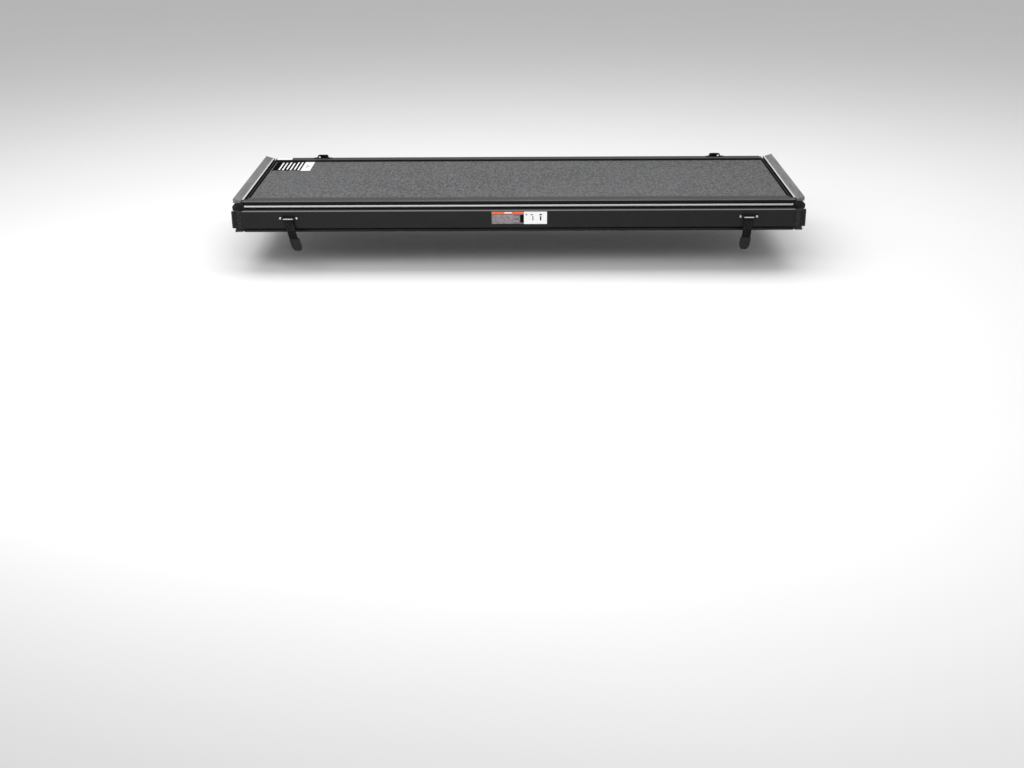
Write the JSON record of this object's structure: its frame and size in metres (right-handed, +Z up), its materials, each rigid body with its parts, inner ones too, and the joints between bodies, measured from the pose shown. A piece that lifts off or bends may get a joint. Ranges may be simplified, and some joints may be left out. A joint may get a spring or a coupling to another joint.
{
  "type": "tonneau cover",
  "caption": "Hard folding truck bed cover, stored as a flat stack of framed panels with a hinge link, side seals, webbing straps, front clamps and tail latches.",
  "frame": {"origin": "middle of the front panel, on the plane of the bed rails that it rests on", "axes": "+X across the truck, +Y to the cab, +Z up"},
  "size_m": [1.679, 0.6359, 0.2229],
  "materials": {
    "board_skin": "fine-grained matte black composite skin",
    "black_rail": "satin black powder coat on extruded aluminium",
    "moulded_cap": "textured black moulding",
    "seal_rubber": "ribbed matte rubber",
    "webbing": "black polyester webbing, 25 mm",
    "buckle_plastic": "black acetal, slightly glossy",
    "black_steel": "black zinc, satin",
    "bright_steel": "zinc plated",
    "cast_alloy": "bead-blasted casting"
  },
  "bodies": {
    "front_panel": {"front_panel_board": "board_skin", "front_rail_hinge": "black_rail", "front_rail_bulkhead": "black_rail", "front_rail_left": "black_rail", "front_rail_right": "black_rail", "front_rail_cap_left": "moulded_cap", "front_rail_cap_right": "moulded_cap", "front_seal_left": "seal_rubber", "front_seal_right": "seal_rubber", "bulkhead_seal": "seal_rubber", "clamp_bracket_left": "black_steel", "clamp_bracket_right": "black_steel"},
    "link": {"hinge_link_rail": "black_rail", "link_end_cap_left": "moulded_cap", "link_end_cap_right": "moulded_cap", "rear_strap_loop_left": "black_steel", "rear_strap_loop_right": "black_steel"},
    "middle_panel": {"middle_panel_board": "board_skin", "middle_rail_link": "black_rail", "middle_rail_tail": "black_rail", "middle_rail_left": "black_rail", "middle_rail_right": "black_rail", "middle_rail_cap_left": "moulded_cap", "middle_rail_cap_right": "moulded_cap", "middle_seal_left": "seal_rubber", "middle_seal_right": "seal_rubber", "cab_strap_loop_left": "black_steel", "cab_strap_loop_right": "black_steel"},
    "tail_panel": {"tail_panel_board": "board_skin", "tail_rail_hinge": "black_rail", "tail_rail_rear": "black_rail", "tail_rail_left": "black_rail", "tail_rail_right": "black_rail", "tail_rail_cap_left": "moulded_cap", "tail_rail_cap_right": "moulded_cap", "tail_seal_left": "seal_rubber", "tail_seal_right": "seal_rubber", "tailgate_seal": "seal_rubber", "tail_hinge_pin": "bright_steel", "latch_housing_left": "cast_alloy", "latch_housing_right": "cast_alloy", "latch_cable": "buckle_plastic"},
    "latch_handle": {"latch_handle": "buckle_plastic"},
    "latch_bolt_left": {"latch_bolt_left": "bright_steel"},
    "rear_strap_left": {"rear_strap_left": "webbing", "rear_buckle_left": "buckle_plastic"},
    "cab_strap_left": {"cab_strap_left": "webbing", "cab_buckle_left": "buckle_plastic"},
    "clamp_arm_left": {"clamp_arm_left": "cast_alloy"},
    "clamp_knob_left": {"clamp_knob_left": "buckle_plastic"},
    "clamp_jaw_left": {"clamp_jaw_left": "cast_alloy"},
    "latch_bolt_right": {"latch_bolt_right": "bright_steel"},
    "rear_strap_right": {"rear_strap_right": "webbing", "rear_buckle_right": "buckle_plastic"},
    "cab_strap_right": {"cab_strap_right": "webbing", "cab_buckle_right": "buckle_plastic"},
    "clamp_arm_right": {"clamp_arm_right": "cast_alloy"},
    "clamp_knob_right": {"clamp_knob_right": "buckle_plastic"},
    "clamp_jaw_right": {"clamp_jaw_right": "cast_alloy"}
  },
  "joints": [
    {"name": "link_hinge", "type": "hinge", "parent": "front_panel", "child": "link", "pos_m": [0, -0.2948, 0.03112], "axis": [1, 0, 0], "range_deg": [0, 90]},
    {"name": "middle_hinge", "type": "hinge", "parent": "link", "child": "middle_panel", "pos_m": [0, -0.2948, 0.06288], "axis": [1, 0, 0], "range_deg": [0, 90]},
    {"name": "tail_hinge", "type": "hinge", "parent": "middle_panel", "child": "tail_panel", "pos_m": [0, 0.281, 0.06288], "axis": [1, 0, 0], "range_deg": [0, 0.1]},
    {"name": "latch_handle_pull", "type": "slide", "parent": "tail_panel", "child": "latch_handle", "axis": [0, -1, 0], "range_m": [0, 0.02], "stiffness_N_per_m": 200},
    {"name": "latch_bolt_slide_left", "type": "slide", "parent": "tail_panel", "child": "latch_bolt_left", "axis": [1, 0, 0], "range_m": [0, 0.02]},
    {"name": "rear_strap_swing_left", "type": "hinge", "parent": "link", "child": "rear_strap_left", "pos_m": [-0.669, -0.33492, 0.053], "axis": [-1, 0, 0], "range_deg": [0, 150]},
    {"name": "cab_strap_swing_left", "type": "hinge", "parent": "middle_panel", "child": "cab_strap_left", "pos_m": [-0.646, 0.265, 0.103], "axis": [1, 0, 0], "range_deg": [0, 150]},
    {"name": "clamp_swing_left", "type": "hinge", "parent": "front_panel", "child": "clamp_arm_left", "pos_m": [-0.762, 0.267, -0.014], "axis": [0, -1, 0], "range_deg": [0, 85]},
    {"name": "clamp_knob_turn_left", "type": "hinge", "parent": "clamp_arm_left", "child": "clamp_knob_left", "pos_m": [-0.784, 0.267, -0.08], "axis": [0, 0, 1], "range_deg": [-1440, 1440]},
    {"name": "clamp_jaw_slide_left", "type": "slide", "parent": "clamp_arm_left", "child": "clamp_jaw_left", "axis": [0, 0, 1], "range_m": [-0.008, 0.008]},
    {"name": "latch_bolt_slide_right", "type": "slide", "parent": "tail_panel", "child": "latch_bolt_right", "axis": [-1, 0, 0], "range_m": [0, 0.02]},
    {"name": "rear_strap_swing_right", "type": "hinge", "parent": "link", "child": "rear_strap_right", "pos_m": [0.669, -0.33492, 0.053], "axis": [-1, 0, 0], "range_deg": [0, 150]},
    {"name": "cab_strap_swing_right", "type": "hinge", "parent": "middle_panel", "child": "cab_strap_right", "pos_m": [0.646, 0.265, 0.103], "axis": [1, 0, 0], "range_deg": [0, 150]},
    {"name": "clamp_swing_right", "type": "hinge", "parent": "front_panel", "child": "clamp_arm_right", "pos_m": [0.762, 0.267, -0.014], "axis": [0, 1, 0], "range_deg": [0, 85]},
    {"name": "clamp_knob_turn_right", "type": "hinge", "parent": "clamp_arm_right", "child": "clamp_knob_right", "pos_m": [0.784, 0.267, -0.08], "axis": [0, 0, 1], "range_deg": [-1440, 1440]},
    {"name": "clamp_jaw_slide_right", "type": "slide", "parent": "clamp_arm_right", "child": "clamp_jaw_right", "axis": [0, 0, 1], "range_m": [-0.008, 0.008]}
  ],
  "couplings": [
    {"joint": "latch_bolt_slide_left", "follows": "latch_handle_pull", "ratio": 1},
    {"joint": "clamp_jaw_slide_left", "follows": "clamp_knob_turn_left", "m_per_rad": 0.0003183},
    {"joint": "latch_bolt_slide_right", "follows": "latch_handle_pull", "ratio": 1},
    {"joint": "clamp_jaw_slide_right", "follows": "clamp_knob_turn_right", "m_per_rad": 0.0003183}
  ]
}
